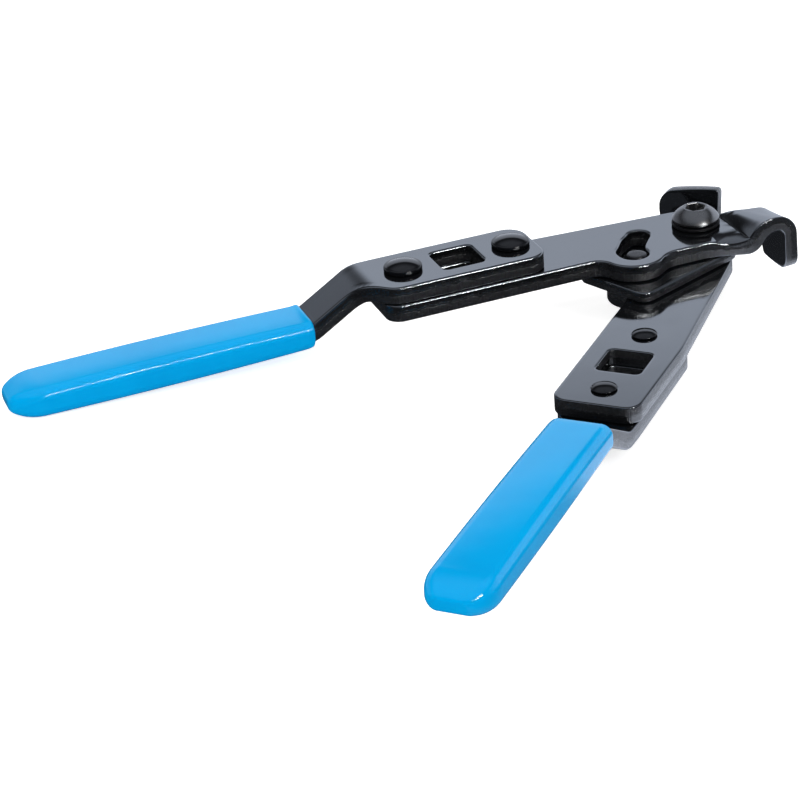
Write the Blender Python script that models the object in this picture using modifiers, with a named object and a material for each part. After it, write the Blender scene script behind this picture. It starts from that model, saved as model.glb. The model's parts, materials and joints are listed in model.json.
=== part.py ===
"""Ear clamp pliers with a centre plate that is driven forward by a cam pin.

Two identical arms cross at the pivot, one of them turned over. Each arm is a jaw plate with a
goose-neck jaw, and a handle plate riveted on top of it. A centre plate slides between the arms:
its pin rides in a slanting slot in each jaw plate, so closing the handles pushes its nose out
between the jaws. Each arm has a square hole for a square-drive bar or torque wrench.

Units are metres. +Z is the pivot axis, +X is where the jaws point, and the tool is open.
"""
import math

import bmesh
import bpy
import numpy as np
from mathutils import Matrix, Vector

# Opening and layers

half_open_angle = math.radians(22.74)
plate_thickness = 0.0050
centre_thickness = 0.0030
running_gap = 0.0003
seat_gap = 0.00025
edge_round = 0.00045
cut_overrun = 0.0020

# Doubled strap of each arm, with the square drive and its two rivets

drive_ahead = 0.0750
drive_offset = 0.0034
drive_square = 0.0130
drive_corner = 0.0010
rivet_pitch = 0.0336
strap_width = 0.0249
strap_tail = 0.0243
strap_corner = 0.0040
strap_kink_front = 0.0120
strap_kink_rise = 0.0004
strap_kink_radius = 0.0600

# Jaw plate around the pivot

pivot_outer_edge = 0.0117
pivot_inner_edge = 0.0142
pivot_corner_radius = 0.0100
heel_radius = 0.0200
bulge_radius = 0.0093
bulge_front_fillet = 0.0080
bulge_rear_fillet = 0.0050

# Cam slot and its pin

pin_reach = 0.0263
pin_diameter = 0.0060
pin_chamfer = 0.0005
pin_sink = 0.0001
slot_width = 0.0069
slot_angle = math.radians(49.0)
slot_offset = 0.01465
slot_inner_reach = 0.0183
slot_outer_reach = 0.0266
slot_pocket_ahead = 0.0250
slot_pocket_offset = 0.0097
slot_pocket_radius = 0.0041
slot_relief_gap = 0.00015
close_half_angle = math.radians(18.5)
centre_travel = 0.0050

# Goose-neck jaw: the neck rises from a crease, turns over a crest and ends in an upright wall

crease_ahead = 0.0087
neck_root_offset = 0.0042
neck_inner_offset = 0.0012
jaw_outer_offset = 0.0178
neck_bend_radius = 0.0045
neck_straight = 0.0025
neck_angle_inner = math.radians(29.0)
neck_angle_outer = math.radians(42.0)
wall_angle = math.radians(88.0)
wall_thickness = 0.0042
wall_ahead_inner = 0.0246
wall_ahead_outer = 0.0228
wall_end_inner = 0.0079
wall_end_outer = 0.0065
wall_corner = 0.0035

# Handle plate: a strap, a shoulder, an offset bend down to the middle of the tool, and a tang

handle_strap_width = 0.0235
lap_front = 0.0240
lap_corner = 0.0035
lap_outer_corner = 0.0060
shoulder_behind = 0.0235
shoulder_radius = 0.0060
shoulder_length = 0.0090
offset_behind = 0.0270
offset_radius = 0.0085
offset_angle = math.radians(31.0)
tang_width = 0.0140
tang_offset = 0.0078
tang_level = -0.0008
tang_dip = math.radians(0.8)
tang_behind = 0.1290
tang_corner = 0.0050

# Dipped grip

grip_mouth_behind = 0.0460
grip_end_behind = 0.1352
grip_mouth_width = 0.0176
grip_mouth_height = 0.0083
grip_width = 0.0184
grip_height = 0.0088
grip_corner = 0.0032
grip_end_taper = 0.0100
grip_end_narrowing = 0.0047
grip_end_lowering = 0.0032
grip_end_round_share = 0.98
grip_straight_shares = (0.0, 0.33, 0.67)

# Rivets

rivet_shank = 0.0060
rivet_head_diameter = 0.0112
rivet_head_height = 0.0026
rivet_head_rim = 0.0016
rivet_tail_diameter = 0.0074
rivet_tail_height = 0.0012
rivet_tail_rim = 0.0004
rivet_dome_share = 0.30
rivet_tail_dome_share = 0.45

# Centre plate

centre_half_width = 0.0134
centre_rear = 0.0379
centre_corner = 0.0040
centre_shoulder = 0.0030
nose_root_half_width = 0.0030
nose_root_ahead = 0.0090
nose_root_corner = 0.0020
nose_width = 0.0044
nose_front = 0.0146
nose_depth = 0.0026
nose_height = 0.0068
nose_round = 0.0003

# Pivot

bush_outer = 0.0110
bush_inner = 0.0086
bush_proud = 0.0001
screw_diameter = 0.0080
screw_head_diameter = 0.0140
screw_head_height = 0.0042
screw_head_rim = 0.0010
screw_flat_diameter = 0.0072
socket_width = 0.0050
socket_depth = 0.0026
screw_point = 0.0010
screw_chamfer = 0.0006
washer_outer = 0.0143
washer_thickness = 0.0008
nut_width = 0.0130
nut_height = 0.0050
nut_chamfer = 0.0006

# Colours as linear red, green, blue

black_coating = (0.012, 0.012, 0.014, 1.0)
bare_edge_steel = (0.020, 0.020, 0.022, 1.0)
blue_vinyl = (0.0, 0.345, 0.807, 1.0)

# Levels and places that follow from the sizes above

jaw_bottom = centre_thickness / 2 + running_gap
jaw_top = jaw_bottom + plate_thickness
jaw_middle = (jaw_bottom + jaw_top) / 2
handle_bottom = jaw_top + seat_gap
handle_top = handle_bottom + plate_thickness
handle_middle = (handle_bottom + handle_top) / 2
drive_point = (drive_ahead, -drive_offset)
strap_outer = -drive_offset - strap_width / 2
strap_inner = -drive_offset + strap_width / 2
strap_end = drive_ahead + strap_tail
strap_kink_ahead = drive_ahead - strap_kink_front
lap_start = drive_ahead - lap_front
shoulder_ahead = drive_ahead + shoulder_behind
offset_start = drive_ahead + offset_behind
tang_end = drive_ahead + tang_behind
grip_start = drive_ahead + grip_mouth_behind
grip_end = drive_ahead + grip_end_behind
bend_run = offset_radius * math.sin(offset_angle)
bend_drop = offset_radius * (1 - math.cos(offset_angle))
back_bend_run = offset_radius * (math.sin(offset_angle) - math.sin(tang_dip))
back_bend_drop = offset_radius * (math.cos(tang_dip) - math.cos(offset_angle))
slope_run = (handle_middle - tang_level - bend_drop - back_bend_drop) / math.tan(offset_angle)
offset_end = offset_start + bend_run + slope_run + back_bend_run
pin_open = (pin_reach * math.cos(half_open_angle), pin_reach * math.sin(half_open_angle))
pin_radius = pin_diameter / 2
bush_radius = bush_outer / 2
pivot_bore = bush_radius + running_gap


def clear_scene():
    for thing in list(bpy.data.objects):
        bpy.data.objects.remove(thing, do_unlink=True)


def new_collection(name):
    group = bpy.data.collections.new(name)
    bpy.context.scene.collection.children.link(group)
    return group


def new_material(name, colour, roughness, metallic):
    material = bpy.data.materials.new(name)
    material.use_nodes = True
    shader = material.node_tree.nodes["Principled BSDF"]
    shader.inputs["Base Color"].default_value = colour
    shader.inputs["Roughness"].default_value = roughness
    shader.inputs["Metallic"].default_value = metallic
    return material


def object_from_bmesh(name, shape, collection, material=None):
    mesh = bpy.data.meshes.new(name)
    shape.to_mesh(mesh)
    shape.free()
    made = bpy.data.objects.new(name, mesh)
    collection.objects.link(made)
    if material:
        mesh.materials.append(material)
    return made


def smooth_with_sharp_edges(made, angle=math.radians(30)):
    made.data.shade_smooth()
    made.data.set_sharp_from_angle(angle=angle)


def hide_cutter(made):
    made.hide_render = True
    made.display_type = "WIRE"


def add_bevel(made, width, segments=2):
    bevel = made.modifiers.new("edge_round", "BEVEL")
    bevel.width = width
    bevel.segments = segments
    bevel.limit_method = "ANGLE"
    bevel.angle_limit = math.radians(38)
    bevel.use_clamp_overlap = False
    return bevel


def cut(made, cutter):
    boolean = made.modifiers.new("cut_" + cutter.name, "BOOLEAN")
    boolean.operation = "DIFFERENCE"
    boolean.solver = "EXACT"
    boolean.object = cutter


def rounded_path(corners, step=math.radians(15)):
    """Polyline through corners (x, y, radius), each corner turned by an arc of its radius."""
    points = []
    for i, (x, y, radius) in enumerate(corners):
        here = Vector((x, y))
        if radius == 0 or i in (0, len(corners) - 1):
            points.append((x, y))
            continue
        back = (Vector(corners[i - 1][:2]) - here).normalized()
        ahead = (Vector(corners[i + 1][:2]) - here).normalized()
        half = back.angle(ahead) / 2
        run = radius / math.tan(half)
        centre = here + (back + ahead).normalized() * (radius / math.sin(half))
        start = here + back * run - centre
        turn = start.angle_signed(here + ahead * run - centre)
        count = max(2, math.ceil(abs(turn) / step))
        for k in range(count + 1):
            spoke = start.copy()
            spoke.rotate(Matrix.Rotation(-turn * k / count, 2))
            points.append(tuple(centre + spoke))
    return points


def arc(centre, radius, start, end, step=math.radians(12)):
    count = max(2, math.ceil(abs(end - start) / step))
    angles = np.linspace(start, end, count + 1)
    return [(centre[0] + radius * math.cos(a), centre[1] + radius * math.sin(a)) for a in angles]


def prism(name, outline, low, high, collection, material=None):
    """Solid between two levels with the given closed outline."""
    shape = bmesh.new()
    floor = shape.faces.new([shape.verts.new((x, y, low)) for x, y in outline])
    lifted = bmesh.ops.extrude_face_region(shape, geom=[floor])
    top = [v for v in lifted["geom"] if isinstance(v, bmesh.types.BMVert)]
    bmesh.ops.translate(shape, verts=top, vec=(0, 0, high - low))
    bmesh.ops.recalc_face_normals(shape, faces=shape.faces)
    return object_from_bmesh(name, shape, collection, material)


def turned(name, profile, collection, material=None, steps=28):
    """Solid of revolution about Z: a profile of (radius, level) from top to bottom, by Screw."""
    shape = bmesh.new()
    verts = [shape.verts.new((radius, 0, level)) for radius, level in profile]
    for first, second in zip(verts, verts[1:]):
        shape.edges.new((first, second))
    made = object_from_bmesh(name, shape, collection, material)
    screw = made.modifiers.new("turn", "SCREW")
    screw.axis = "Z"
    screw.angle = math.tau
    screw.steps = steps
    screw.render_steps = steps
    screw.use_merge_vertices = True
    screw.merge_threshold = 0.00001
    return made


def freeze(made, collection):
    """The object with its modifiers applied, as a plain mesh."""
    seen = made.evaluated_get(bpy.context.evaluated_depsgraph_get())
    mesh = bpy.data.meshes.new_from_object(seen)
    shape = bmesh.new()
    shape.from_mesh(mesh)
    bmesh.ops.remove_doubles(shape, verts=shape.verts, dist=0.000001)
    shape.to_mesh(mesh)
    shape.free()
    name, matrix = made.name, made.matrix_world.copy()
    bpy.data.objects.remove(made, do_unlink=True)
    mesh.name = name
    fresh = bpy.data.objects.new(name, mesh)
    fresh.matrix_world = matrix
    collection.objects.link(fresh)
    return fresh


def cylinder_cutter(name, x, y, radius, low, high, vertices=28):
    shape = bmesh.new()
    bmesh.ops.create_cone(shape, cap_ends=True, segments=vertices, radius1=radius, radius2=radius,
                          depth=high - low, matrix=Matrix.Translation((x, y, (low + high) / 2)))
    made = object_from_bmesh(name, shape, cutters)
    hide_cutter(made)
    return made


def ribbon(name, rows, collection, material):
    """Bar lofted along rows of points: a row holds its upper points and its lower ones.

    Each row has as many upper as lower points, taken across the bar from its inner side to its
    outer side. Flat stretches are merged into single faces afterwards.
    """
    shape = bmesh.new()
    rings = [[shape.verts.new(p) for p in list(upper) + list(lower)[::-1]] for upper, lower in rows]
    for first, second in zip(rings, rings[1:]):
        for k in range(len(first)):
            after = (k + 1) % len(first)
            shape.faces.new((first[k], first[after], second[after], second[k]))
    shape.faces.new(rings[0][::-1])
    shape.faces.new(rings[-1])
    bmesh.ops.recalc_face_normals(shape, faces=shape.faces)
    bmesh.ops.dissolve_limit(shape, angle_limit=math.radians(0.3), verts=shape.verts,
                             edges=shape.edges)
    return object_from_bmesh(name, shape, collection, material)


def edge_at(path, x):
    """The offset of an edge path at a place along the arm."""
    places = np.array(sorted(path))
    return float(np.interp(x, places[:, 0], places[:, 1]))


def all_places(edges):
    """All places along the arm where one of the edges has a point."""
    return sorted({round(x, 7) for path in edges for x, _ in path})


def bulge_edge():
    """Inner edge round the cam: two straight edges joined to a circle by hollow fillets."""
    centre = (slot_pocket_ahead, slot_pocket_offset)
    points = []
    for side, level, fillet in ((1, strap_inner, bulge_rear_fillet),
                                (-1, pivot_inner_edge, bulge_front_fillet)):
        reach = bulge_radius + fillet
        rise = level + fillet - centre[1]
        across = math.sqrt(reach ** 2 - rise ** 2)
        hub = (centre[0] + side * across, level + fillet)
        touch = math.atan2(centre[1] - hub[1], centre[0] - hub[0])
        touch = touch + math.tau if side == 1 and touch < 0 else touch
        down = math.radians(270) if side == 1 else math.radians(-90)
        points.append(arc(hub, fillet, down, touch))
    rear, front = points
    start = math.atan2(rear[-1][1] - centre[1], rear[-1][0] - centre[0])
    end = math.atan2(front[-1][1] - centre[1], front[-1][0] - centre[0])
    return rear + arc(centre, bulge_radius, start, end)[1:-1] + front[::-1]


def jaw_plate_edges():
    """The two long edges of the flat part of a jaw plate, from the handle end to the crease."""
    outer = rounded_path([
        (strap_end, strap_outer + strap_corner, 0),
        (strap_end, strap_outer, strap_corner),
        (strap_kink_ahead, strap_outer - strap_kink_rise, strap_kink_radius),
        (0, -pivot_outer_edge, pivot_corner_radius),
        (-crease_ahead, -neck_root_offset, 0)])
    inner = rounded_path([
        (strap_end, strap_inner - strap_corner, 0),
        (strap_end, strap_inner, strap_corner),
        (strap_kink_ahead, strap_inner, 0)])
    inner += bulge_edge()
    inner += rounded_path([
        (bush_radius, pivot_inner_edge, 0),
        (0, pivot_inner_edge, heel_radius),
        (-crease_ahead, jaw_outer_offset, 0)])
    return outer, inner


def neck_section(share, count_bend=5, count_turn=11, count_wall=2):
    """Middle line of the bent jaw at a share of its width: 0 at the inner side, 1 at the outer.

    It bends up by the neck angle, runs straight, turns over until it points down, and ends in
    a straight wall. The turn's radius is what brings the wall to its place.
    Returns rows of (place along the arm, level, heading) and how many of them are on the wall.
    """
    neck = neck_angle_inner + (neck_angle_outer - neck_angle_inner) * share
    wall_ahead = wall_ahead_inner + (wall_ahead_outer - wall_ahead_inner) * share
    wall_end = wall_end_inner + (wall_end_outer - wall_end_inner) * share
    run = wall_ahead - crease_ahead
    run -= neck_bend_radius * math.sin(neck) + neck_straight * math.cos(neck)
    turn_radius = run / (math.sin(neck) + math.sin(wall_angle))
    x, z = -crease_ahead, jaw_middle
    rows = [(x, z, 0.0)]
    for k in range(1, count_bend + 1):
        heading = neck * k / count_bend
        rows.append((x - neck_bend_radius * math.sin(heading),
                     z + neck_bend_radius * (1 - math.cos(heading)), heading))
    x, z, heading = rows[-1]
    x, z = x - neck_straight * math.cos(neck), z + neck_straight * math.sin(neck)
    for k in range(count_turn + 1):
        heading = neck - (neck + wall_angle) * k / count_turn
        rows.append((x - turn_radius * (math.sin(neck) - math.sin(heading)),
                     z + turn_radius * (math.cos(heading) - math.cos(neck)), heading))
    x, z, heading = rows[-1]
    for k in range(1, count_wall + 1):
        drop = (z + wall_end) * k / count_wall
        rows.append((x - drop / math.tan(wall_angle), z - drop, heading))
    return rows, count_wall


def jaw_rows(across):
    """Rows of the bent jaw, each with its upper and its lower points."""
    sections = []
    for k in range(across):
        section, wall_count = neck_section(k / (across - 1))
        sections.append(section)
    count = len(sections[0])
    bend_end, thin_end, wall_start, fade = 6, 10, count - wall_count, 5
    rows = []
    for i in range(1, count):
        into_neck = min(1.0, i / bend_end)
        ease = into_neck * into_neck * (3 - 2 * into_neck)
        inner = -neck_root_offset + (neck_root_offset + neck_inner_offset) * ease
        if i > wall_start - fade:
            inner *= max(0.0, (wall_start - i) / fade)
        shrink = min(1.0, i / thin_end)
        half = (plate_thickness + (wall_thickness - plate_thickness) * shrink) / 2
        upper, lower = [], []
        for k in range(across):
            x, z, heading = sections[k][i]
            y = inner + (jaw_outer_offset - inner) * k / (across - 1)
            normal = (math.sin(heading) * half, math.cos(heading) * half)
            upper.append((x + normal[0], y, z + normal[1]))
            lower.append((x - normal[0], y, z - normal[1]))
        rows.append((upper, lower))
    return rows


def make_jaw_plate(name, material, across=7):
    """Jaw plate of one arm: flat strap with the cam slot, and the goose-neck jaw."""
    outer, inner = jaw_plate_edges()
    rows = []
    for x in all_places((outer, inner))[::-1]:
        low, high = edge_at(outer, x), edge_at(inner, x)
        ys = np.linspace(low, high, across)
        rows.append(([(x, y, jaw_top) for y in ys], [(x, y, jaw_bottom) for y in ys]))
    rows += jaw_rows(across)
    made = ribbon(name, rows, pliers, material)
    for cutter in jaw_cutters:
        cut(made, cutter)
    add_bevel(made, edge_round)
    return made


def handle_plate_edges(extra=0.0):
    """The two long edges of a handle plate, from its lap end to the end of the tang.

    Extra makes the outline larger all round, for the hollow that the tang leaves in its grip.
    """
    half = handle_strap_width / 2 + extra
    tang_half = tang_width / 2 + extra
    shoulder_end = shoulder_ahead + shoulder_length
    edges = []
    for side, corner in ((-1, lap_outer_corner), (1, lap_corner)):
        strap = -drive_offset + side * half
        tang = -tang_offset + side * tang_half
        edges.append(rounded_path([
            (lap_start - extra, strap - side * corner, 0),
            (lap_start - extra, strap, corner),
            (shoulder_ahead, strap, shoulder_radius),
            (shoulder_end, tang, shoulder_radius),
            (tang_end + extra, tang, tang_corner + extra),
            (tang_end + extra, tang - side * (tang_corner + extra), 0)]))
    return edges


def offset_bend(place):
    """Level and heading of the handle plate's middle line at a place along the arm.

    Two opposite bends with a straight slope between them lower the plate from the strap to the
    middle of the tool, where the tang dips a little towards its end.
    """
    s = place - offset_start
    if s <= 0:
        return handle_middle, 0.0
    if s < bend_run:
        heading = math.asin(s / offset_radius)
        return handle_middle - offset_radius * (1 - math.cos(heading)), heading
    s -= bend_run
    if s < slope_run:
        return handle_middle - bend_drop - s * math.tan(offset_angle), offset_angle
    s -= slope_run
    if s < back_bend_run:
        heading = math.asin((bend_run - s) / offset_radius)
        return tang_level + offset_radius * (math.cos(tang_dip) - math.cos(heading)), heading
    return tang_level - (s - back_bend_run) * math.tan(tang_dip), tang_dip


def handle_ribbon(name, extra, collection, material):
    """Handle plate lofted along its offset bend, enlarged by extra on every side."""
    outer, inner = handle_plate_edges(extra)
    first = [offset_start + offset_radius * math.sin(offset_angle * k / 4) for k in range(5)]
    back_start = offset_end - back_bend_run
    second = [back_start + back_bend_run * k / 4 for k in range(5)]
    places = sorted(set(all_places((outer, inner))) | {round(x, 7) for x in first + second})
    half = plate_thickness / 2 + extra
    rows = []
    for x in places:
        z, heading = offset_bend(x)
        shift, lift = math.sin(heading) * half, math.cos(heading) * half
        ys = (edge_at(outer, x), edge_at(inner, x))
        rows.append(([(x + shift, y, z + lift) for y in ys],
                     [(x - shift, y, z - lift) for y in ys]))
    return ribbon(name, rows, collection, material)


def make_handle_plate(name, material):
    made = handle_ribbon(name, 0.0, pliers, material)
    for cutter in handle_cutters:
        cut(made, cutter)
    add_bevel(made, edge_round)
    return made


def grip_ring(x, width, height, corner, steps=4):
    """Closed rounded-rectangle section of the grip at a place along the arm."""
    points = []
    for quarter in range(4):
        sign_y = 1 if quarter in (0, 3) else -1
        sign_z = 1 if quarter in (0, 1) else -1
        hub_y = sign_y * (width / 2 - corner) - tang_offset
        hub_z = sign_z * (height / 2 - corner) + offset_bend(x)[0]
        for k in range(steps + 1):
            a = math.radians(90) * (quarter + k / steps)
            points.append((x, hub_y + corner * math.cos(a), hub_z + corner * math.sin(a)))
    return points


def make_grip(name, material, end_steps=6):
    """Vinyl sleeve dipped on the tang: a rounded bar, open at its mouth and closed at its end."""
    rings = []
    swell_run = grip_end - grip_end_taper - grip_start
    for share in grip_straight_shares:
        width = grip_mouth_width + (grip_width - grip_mouth_width) * share
        height = grip_mouth_height + (grip_height - grip_mouth_height) * share
        rings.append(grip_ring(grip_start + swell_run * share, width, height, grip_corner))
    for k in range(end_steps + 1):
        swing = math.radians(90) * k / end_steps
        fall = 1 - math.cos(swing)
        width = grip_width - 2 * grip_end_narrowing * fall
        height = grip_height - 2 * grip_end_lowering * fall
        corner = min(grip_corner, height / 2 * grip_end_round_share)
        back = grip_end_taper * (1 - math.sin(swing))
        rings.append(grip_ring(grip_end - back, width, height, corner))
    shape = bmesh.new()
    loops = [[shape.verts.new(point) for point in ring] for ring in rings]
    for first, second in zip(loops, loops[1:]):
        for k in range(len(first)):
            after = (k + 1) % len(first)
            shape.faces.new((first[k], first[after], second[after], second[k]))
    shape.faces.new(loops[0][::-1])
    shape.faces.new(loops[-1])
    bmesh.ops.recalc_face_normals(shape, faces=shape.faces)
    made = object_from_bmesh(name, shape, pliers, material)
    cut(made, tang_cutter)
    return made


def rivet_profile():
    """Half section of a rivet from the top of its factory head to its set tail."""
    head = handle_top + seat_gap
    tail = jaw_bottom - seat_gap
    radius = rivet_shank / 2
    head_radius, tail_radius = rivet_head_diameter / 2, rivet_tail_diameter / 2
    dome = rivet_head_height - rivet_head_rim
    low_dome = rivet_tail_height - rivet_tail_rim
    swings = [math.radians(a) for a in (0, 30, 60, 90)]
    points = [(0, head + rivet_head_height)]
    points += [(head_radius * (1 - rivet_dome_share * math.cos(s)),
                head + rivet_head_rim + dome * math.cos(s)) for s in swings]
    points += [(head_radius, head), (radius, head), (radius, tail), (tail_radius, tail)]
    points += [(tail_radius * (1 - rivet_tail_dome_share * math.sin(s)),
                tail - rivet_tail_rim - low_dome * math.sin(s)) for s in swings]
    points += [(0, tail - rivet_tail_height)]
    return points


def make_rivet(name, x, material):
    made = turned(name, rivet_profile(), pliers, material, steps=18)
    made.location = (x, -drive_offset, 0)
    smooth_with_sharp_edges(made)
    return made


def centre_outline():
    """Outline of the centre plate, symmetric about the line that the jaws point along."""
    side = [(-centre_rear, 0, 0),
            (-centre_rear, centre_half_width, centre_corner),
            (centre_shoulder, centre_half_width, centre_corner),
            (nose_root_ahead, nose_root_half_width, nose_root_corner),
            (nose_front - nose_depth / 2, nose_root_half_width / 2, 0)]
    near = rounded_path(side)[1:]
    return near + [(x, -y) for x, y in near[::-1]]


def make_centre_plate(material):
    """Centre plate with its guide slot, its pin hole and the upright nose bar."""
    plate = prism("centre_plate", centre_outline(), -centre_thickness / 2, centre_thickness / 2,
                  pliers, material)
    half = nose_width / 2
    back = nose_front - nose_depth
    bar = prism("nose_bar", [(back, -half), (nose_front, -half), (nose_front, half), (back, half)],
                -nose_height, nose_height, cutters)
    hide_cutter(bar)
    join = plate.modifiers.new("nose", "BOOLEAN")
    join.operation = "UNION"
    join.solver = "EXACT"
    join.object = bar
    rear = -centre_travel - running_gap
    front = running_gap
    guide = prism("guide_slot", arc((front, 0), pivot_bore, math.radians(-90), math.radians(90)) +
                  arc((rear, 0), pivot_bore, math.radians(90), math.radians(270)),
                  -centre_thickness, centre_thickness, cutters)
    hide_cutter(guide)
    cut(plate, guide)
    hole = cylinder_cutter("pin_hole", -pin_reach, 0, pin_radius + seat_gap,
                           -centre_thickness, centre_thickness)
    cut(plate, hole)
    add_bevel(plate, nose_round, 1)
    return plate


def slot_outline():
    """Straight part of the cam slot: a slot of even width along a slanting line."""
    along = Vector((math.cos(slot_angle), math.sin(slot_angle)))
    normal = Vector((along.y, -along.x)) * slot_offset
    first, last = [normal + along * math.sqrt(reach ** 2 - slot_offset ** 2)
                   for reach in (slot_inner_reach, slot_outer_reach)]
    radius = slot_width / 2
    a = slot_angle
    return (arc(last, radius, a - math.radians(90), a + math.radians(90)) +
            arc(first, radius, a + math.radians(90), a + math.radians(270)))


def pin_place(closed_share):
    """Where the pin is in an arm's own plane when the handles are closed by a share."""
    angle = half_open_angle - close_half_angle * closed_share
    reach = pin_reach - centre_travel * closed_share
    return (reach * math.cos(angle), reach * math.sin(angle))


def relief_outline(count=8):
    """Room for the pin along its whole path, so that it clears the corner of the slot."""
    radius = pin_radius + slot_relief_gap
    path = [Vector(pin_place(k / count)) for k in range(count + 1)]
    one_side, other_side = [], []
    for k, point in enumerate(path):
        ahead = (path[min(k + 1, count)] - path[max(k - 1, 0)]).normalized()
        sideways = Vector((-ahead.y, ahead.x)) * radius
        one_side.append(tuple(point + sideways))
        other_side.append(tuple(point - sideways))
    return one_side + other_side[::-1]


def make_corner_cutter():
    """Rounds the outer end corner of the jaw's wall, as seen along the arm."""
    round_off = rounded_path([(jaw_outer_offset, 0, 0),
                              (jaw_outer_offset, -wall_end_outer, wall_corner),
                              (0, -wall_end_inner, 0)], step=math.radians(18))[1:-1]
    beyond = Vector((wall_end_inner - wall_end_outer, -jaw_outer_offset)).normalized() * cut_overrun
    last = Vector(round_off[-1]) + beyond
    far = jaw_outer_offset + cut_overrun
    outline = round_off + [tuple(last), (far, last.y), (far, round_off[0][1])]
    middle = (wall_ahead_inner + wall_ahead_outer) / 2
    made = prism("wall_corner", outline, -middle - wall_thickness, -middle + wall_thickness, cutters)
    made.data.transform(Matrix(((0, 0, 1, 0), (1, 0, 0, 0), (0, 1, 0, 0), (0, 0, 0, 1))))
    return made


def make_arm_cutters():
    low, high = jaw_bottom - cut_overrun, handle_top + cut_overrun
    half = drive_square / 2
    x, y = drive_point
    square = rounded_path([
        (x, y - half, 0), (x + half, y - half, drive_corner), (x + half, y + half, drive_corner),
        (x - half, y + half, drive_corner), (x - half, y - half, drive_corner), (x, y - half, 0)],
        step=math.radians(30))[:-1]
    drive = prism("drive_square", square, low, high, cutters)
    holes = [cylinder_cutter("rivet_hole_%d" % k, x + side * rivet_pitch / 2, y,
                             rivet_shank / 2 + seat_gap, low, high, 20)
             for k, side in enumerate((-1, 1))]
    bore = cylinder_cutter("pivot_bore", 0, 0, pivot_bore, low, high)
    slot = prism("cam_slot", slot_outline(), low, high, cutters)
    pocket = cylinder_cutter("cam_pocket", slot_pocket_ahead, slot_pocket_offset,
                             slot_pocket_radius, low, high)
    relief = prism("cam_relief", relief_outline(), low, high, cutters)
    corner = make_corner_cutter()
    for cutter in (drive, slot, relief, corner):
        hide_cutter(cutter)
    return [drive, *holes, bore, slot, pocket, relief, corner], [drive, *holes]


def make_pivot(material):
    """Bush, button-head screw, washers and nut that hold the two arms together."""
    bush_top = jaw_top + bush_proud
    bush = turned("pivot_bush", [
        (bush_inner / 2, bush_top), (bush_radius, bush_top), (bush_radius, -bush_top),
        (bush_inner / 2, -bush_top), (bush_inner / 2, bush_top)], pliers, material)
    washers = []
    for name, side in (("head_washer", 1), ("nut_washer", -1)):
        face = side * (bush_top + seat_gap)
        far = face + side * washer_thickness
        high, low = max(face, far), min(face, far)
        washers.append(turned(name, [
            (bush_inner / 2, high), (washer_outer / 2, high), (washer_outer / 2, low),
            (bush_inner / 2, low), (bush_inner / 2, high)], pliers, material))
    seat = bush_top + 2 * seat_gap + washer_thickness
    nut_far = -seat - nut_height
    radius = screw_head_diameter / 2
    dome = screw_head_height - screw_head_rim
    flat = screw_flat_diameter / 2
    swings = [math.radians(a) for a in (0, 22, 44, 66, 90)]
    profile = [(0, seat + screw_head_height)]
    profile += [(flat + (radius - flat) * math.sin(s), seat + screw_head_rim + dome * math.cos(s))
                for s in swings]
    profile += [(radius, seat), (screw_diameter / 2, seat),
                (screw_diameter / 2, nut_far - screw_point + screw_chamfer),
                (screw_diameter / 2 - screw_chamfer, nut_far - screw_point), (0, nut_far - screw_point)]
    blank = turned("pivot_screw", profile, pliers, material)
    screw = freeze(blank, pliers)
    shape = bmesh.new()
    socket_floor = seat + screw_head_height - socket_depth
    depth = socket_depth + cut_overrun
    bmesh.ops.create_cone(shape, cap_ends=True, segments=6, radius1=socket_width / math.sqrt(3),
                          radius2=socket_width / math.sqrt(3), depth=depth,
                          matrix=Matrix.Translation((0, 0, socket_floor + depth / 2)))
    socket = object_from_bmesh("socket", shape, cutters)
    hide_cutter(socket)
    cut(screw, socket)
    shape = bmesh.new()
    bmesh.ops.create_cone(shape, cap_ends=True, segments=6, radius1=nut_width / math.sqrt(3),
                          radius2=nut_width / math.sqrt(3), depth=nut_height,
                          matrix=Matrix.Translation((0, 0, -seat - nut_height / 2)))
    nut = object_from_bmesh("pivot_nut", shape, pliers, material)
    bore = cylinder_cutter("nut_bore", 0, 0, screw_diameter / 2 + seat_gap,
                           nut_far - cut_overrun, -seat + cut_overrun)
    cut(nut, bore)
    add_bevel(nut, nut_chamfer, 1)
    for made in (bush, screw, *washers):
        smooth_with_sharp_edges(made)
    return bush, screw, washers, nut


def make_pin(material):
    half = jaw_top - pin_sink
    made = turned("cam_pin", [
        (0, half), (pin_radius - pin_chamfer, half), (pin_radius, half - pin_chamfer),
        (pin_radius, pin_chamfer - half), (pin_radius - pin_chamfer, -half), (0, -half)],
        pliers, material)
    made.location = (-pin_reach, 0, 0)
    smooth_with_sharp_edges(made)
    return made


def new_empty(name, parent=None):
    made = bpy.data.objects.new(name, None)
    made.empty_display_size = bush_outer
    pliers.objects.link(made)
    made.parent = parent
    return made


clear_scene()
pliers = new_collection("ear_clamp_pliers")
cutters = new_collection("cutters")
coated = new_material("black_coated_steel", black_coating, 0.28, 0.0)
fastener = new_material("blackened_fastener_steel", bare_edge_steel, 0.35, 0.4)
vinyl = new_material("blue_dipped_vinyl", blue_vinyl, 0.25, 0.0)
jaw_cutters, handle_cutters = make_arm_cutters()
tang_cutter = handle_ribbon("tang_room", seat_gap, cutters, None)
hide_cutter(tang_cutter)

whole = new_empty("whole_tool")
upper_frame = new_empty("upper_arm_frame", whole)
upper_frame.rotation_euler = (0, 0, math.pi - half_open_angle)
lower_frame = new_empty("lower_arm_frame", whole)
lower_frame.matrix_local = (Matrix.Rotation(math.pi, 4, "X") @
                            Matrix.Rotation(math.pi - half_open_angle, 4, "Z"))

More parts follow.
